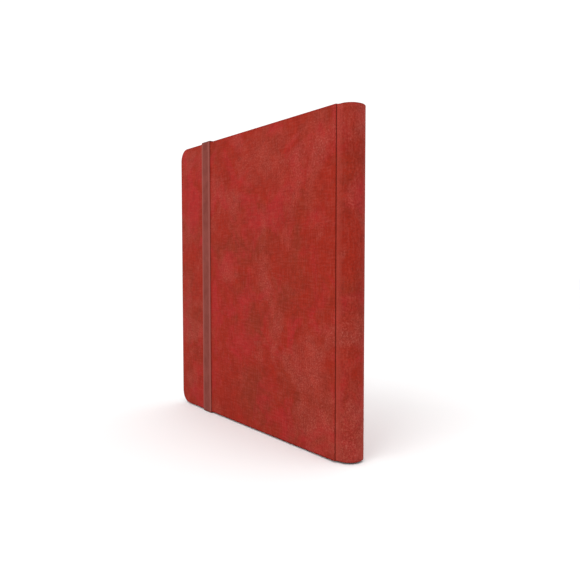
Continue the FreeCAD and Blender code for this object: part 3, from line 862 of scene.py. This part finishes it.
def spine_lining():
    """The cloth glued inside the spine's board."""
    low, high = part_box("spine_lining")
    arc_steps = 16
    outer = SPINE_ROUND - (SPINE_HIGH.x - high.x)
    middle = high.x - outer
    flat = SPINE_HIGH.y - SPINE_ROUND
    swing = math.acos((low.x - middle) / outer)
    arc = [-swing + swing * step / arc_steps for step in range(arc_steps + 1)]
    loop = []
    for radius, angles in ((outer, arc), (outer - SPINE_LINING_THICK, arc[::-1])):
        front = [(middle + radius * math.cos(angle), radius * math.sin(angle) - flat)
                 for angle in angles]
        back = [(x, -y) for x, y in front[::-1]]
        loop += front + back if radius == outer else back + front
    sheet = upright_piece("spine_lining_cloth", loop, np.linspace(low.z, high.z, 40), LINING)
    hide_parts("spine_lining")
    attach(sheet, "spine")


def joint_cloth(side, outwards):
    """The cloth that joins a cover to the spine, stepping down where the two meet."""
    half = CLOTH_THICK / 2
    cover_y = outwards * (BACK_PLANE - COVER_THICK - half)
    spine_y = outwards * (SPINE_HIGH.y - SKIN - half)
    start, end = STRIP_LOW.x, STRIP_HIGH.x
    step_start, step_end = CREASE - 0.5 * MM, CREASE + 0.15 * MM
    middle = []
    steps = 48
    for step in range(steps + 1):
        x = start + (end - start) * step / steps
        part = min(1.0, max(0.0, (x - step_start) / (step_end - step_start)))
        middle.append((x, cover_y + (spine_y - cover_y) * part * part * (3 - 2 * part)))
    loop = [(x, y - half) for x, y in middle] + [(x, y + half) for x, y in middle[::-1]]
    heights = np.linspace(BOTTOM + 0.5 * MM, TOP - 0.5 * MM, 60)
    cloth_piece = upright_piece(side + "_joint_cloth", loop, heights, JOINT_CLOTH,
                                KEPT_EDGE_OF_CLOTH)
    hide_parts(side.replace("_cover", "") + "_hinge_strip")
    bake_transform(cloth_piece)


def crease_gusset(side, outwards):
    """The soft fillet of suede that fills the corner between a cover's edge and the spine."""
    wall, face = CREASE + 0.02 * MM, SPINE_HIGH.y + 0.02 * MM
    tall, wide, under = 1.62 * MM, 2.3 * MM, 0.3 * MM
    sunk = face - 0.06 * MM
    shown = []
    for step in range(CORNER_STEPS + 1):
        angle = math.radians(90 * step / CORNER_STEPS)
        shown.append((wall + wide * (1 - math.cos(angle)), face + tall * (1 - math.sin(angle))))
    back = [(wall + wide, sunk), (wall + 1.2 * MM, sunk), (wall + 0.1 * MM, sunk),
            (wall, face + under)]
    loop = [(x, outwards * y) for x, y in shown + back]
    if outwards > 0:
        loop = loop[::-1]
    heights = np.linspace(BOTTOM + 0.35 * MM, TOP - 0.35 * MM, 70)
    gusset = upright_piece(side + "_crease_gusset", loop, heights, SPINE_SUEDE,
                           KEPT_EDGE_OF_CLOTH)
    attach(gusset, "spine")
    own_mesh(gusset)


# Strap.

def rounded_path(corners, radius, spacing):
    """Points along straight runs joined by arcs, each with the direction there."""
    path = []
    count = len(corners)
    cursor = Vector(corners[0])
    for index in range(1, count):
        corner = Vector(corners[index])
        before = (corner - cursor).normalized()
        last = index == count - 1
        stop = corner if last else corner - before * radius
        length = (stop - cursor).length
        pieces = max(2, int(length / spacing))
        for step in range(pieces + 1):
            path.append((cursor + (stop - cursor) * step / pieces, before))
        if last:
            break
        after = (Vector(corners[index + 1]) - corner).normalized()
        centre = corner - before * radius + after * radius
        for step in range(1, BEND_STEPS):
            angle = math.radians(90 * step / BEND_STEPS)
            spot = centre - after * radius * math.cos(angle) + before * radius * math.sin(angle)
            way = before * math.cos(angle) + after * math.sin(angle)
            path.append((spot, way.normalized()))
        cursor = corner + after * radius
    return path


def strap_section():
    """The strap's section: across its width, and out from its underside, with soft ribs."""
    half_wide, half_thick = STRAP_WIDTH / 2, STRAP_THICK / 2
    ribs, across = 9, 54
    edge = 0.3 * MM
    top = []
    for step in range(across + 1):
        side = (half_wide - edge) * (2 * step / across - 1)
        rib = abs(math.sin(math.pi * ribs * step / across))
        top.append((side, half_thick - 0.16 * MM + 0.14 * MM * rib))
    right = [(half_wide - 0.08 * MM, half_thick - 0.28 * MM), (half_wide, half_thick * 0.35),
             (half_wide, -half_thick * 0.35), (half_wide - 0.08 * MM, 0.28 * MM - half_thick)]
    low = [(side, -up) for side, up in top[::-1]]
    left = [(-side, -up) for side, up in right]
    return top + right + low + left


def strap():
    """The elastic strap as one length, from its slot at the top to its slot at the bottom.

    Its route lies in the plane of y and z, so a spot's x and y stand for those."""
    half = STRAP_THICK / 2
    front, back = FRONT_PLANE - half, BACK_PLANE + half
    high, low = TOP + half, BOTTOM - half
    inside = BACK_PLANE - 0.7 * MM
    corners = [(inside, TOP - STRAP_RISE), (back, TOP - STRAP_RISE), (back, high),
               (front, high), (front, low), (back, low), (back, BOTTOM + STRAP_RISE),
               (inside, BOTTOM + STRAP_RISE)]
    path = rounded_path(corners, STRAP_BEND, 2.4 * MM)
    section = strap_section()
    points = []
    for spot, way in path:
        out = Vector((way.y, -way.x))
        for side, up in section:
            points.append((STRAP_MIDDLE + side, spot.x - out.x * up, spot.y - out.y * up))
    faces = grid_faces(len(path), len(section), close_columns=True)
    last = (len(path) - 1) * len(section)
    faces += [list(range(len(section)))[::-1], list(range(last, last + len(section)))]
    band = mesh_piece("elastic_band", points, faces, ELASTIC)
    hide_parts("elastic_strap", "strap_bottom_wrap")
    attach(band, "back_cover")
    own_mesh(band)


# Leaves.

def page_fold(page):
    """The thin scored hinge between a leaf's backing and its margin in the comb."""
    low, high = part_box(page + "_backing")
    hinge_x = JOINTS[page + "_hinge"]["pos_m"][0]
    middle = (low.y + high.y) / 2
    half = (high.y - low.y) / 2
    steps = 20
    upper, lower = [], []
    for step in range(steps + 1):
        part = step / steps
        x = high.x + (hinge_x - high.x) * part
        score = half * (1 - 0.3 * part - 0.35 * math.sin(math.pi * part))
        upper.append((x, middle + score))
        lower.append((x, middle - score))
    loop = lower + upper[::-1]
    fold = upright_piece(page + "_fold", loop, (low.z, high.z), SHEET, KEPT_EDGE_OF_FOLD)
    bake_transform(fold)


def leaves():
    """Every leaf's finish and its fold."""
    for page in PAGES:
        finish(page + "_backing", SHEET)
        finish(page + "_pockets", FILM)
        page_fold(page)


# Floor, light and camera.

def floor():
    """A pale floor wide enough to reach past every view."""
    around = 96
    turns = [2 * math.pi * step / around for step in range(around)]
    points = [(FLOOR_REACH * math.cos(turn), FLOOR_REACH * math.sin(turn), 0) for turn in turns]
    paint = Paint("pale_floor", 0.9, specular=0.1)
    paint.colour(paint.ramp(paint.noise(3, detail=2), [(0.3, 0.915), (0.7, 0.93)]))
    ground = mesh_piece("floor", points, [list(range(around))], paint.material, smooth=False)


def area_light(name, place, target, size, power):
    """A soft square light that faces a point."""
    data = bpy.data.lights.new(name, "AREA")
    data.size = size
    data.energy = power
    light = bpy.data.objects.new(name, data)
    light.location = place
    light.rotation_mode = "QUATERNION"
    light.rotation_quaternion = (Vector(target) - Vector(place)).to_track_quat("-Z", "Y")
    bpy.context.scene.collection.objects.link(light)


def studio():
    """White surroundings and two soft boxes, one to each side of the camera."""
    world = bpy.data.worlds.new("studio")
    world.use_nodes = True
    world.node_tree.nodes["Background"].inputs["Color"].default_value = (1, 1, 1, 1)
    world.node_tree.nodes["Background"].inputs["Strength"].default_value = 1.1
    bpy.context.scene.world = world
    bpy.context.scene.view_settings.view_transform = "Standard"
    middle = ((FORE_EDGE + CREASE) / 2, 0, MIDDLE_HEIGHT)
    area_light("key", (0.4, -1.0, 1.4), middle, 0.8, 7)
    area_light("side", (1.5, -0.7, 1.0), middle, 0.8, 0.8)


# The photo's camera: its distance from the foot of the front cover's crease in metres, the way
# it looks in degrees, and its lens in millimetres.
CAMERA_PLACE = (0.4097, -0.3554, 0.1830)
CAMERA_TURN = 53.28
CAMERA_PITCH = 3.0
CAMERA_LENS = 37.94


def camera():
    """The camera that sees the album as the photo does, turned left and a little down."""
    data = bpy.data.cameras.new("camera")
    data.sensor_width = 36
    data.lens = CAMERA_LENS
    viewer = bpy.data.objects.new("camera", data)
    crease_foot = (CREASE, FRONT_PLANE, BOTTOM)
    viewer.location = [foot + away for foot, away in zip(crease_foot, CAMERA_PLACE)]
    turn, pitch = math.radians(CAMERA_TURN), math.radians(CAMERA_PITCH)
    ahead = Vector((-math.sin(turn) * math.cos(pitch), math.cos(turn) * math.cos(pitch),
                    -math.sin(pitch)))
    viewer.rotation_mode = "QUATERNION"
    viewer.rotation_quaternion = ahead.to_track_quat("-Z", "Y")
    bpy.context.scene.collection.objects.link(viewer)
    bpy.context.scene.camera = viewer


camera()
studio()
floor()
covers()
spine()
joint_cloth("front_cover", -1)
joint_cloth("back_cover", 1)
crease_gusset("front_cover", -1)
crease_gusset("back_cover", 1)
strap()
leaves()
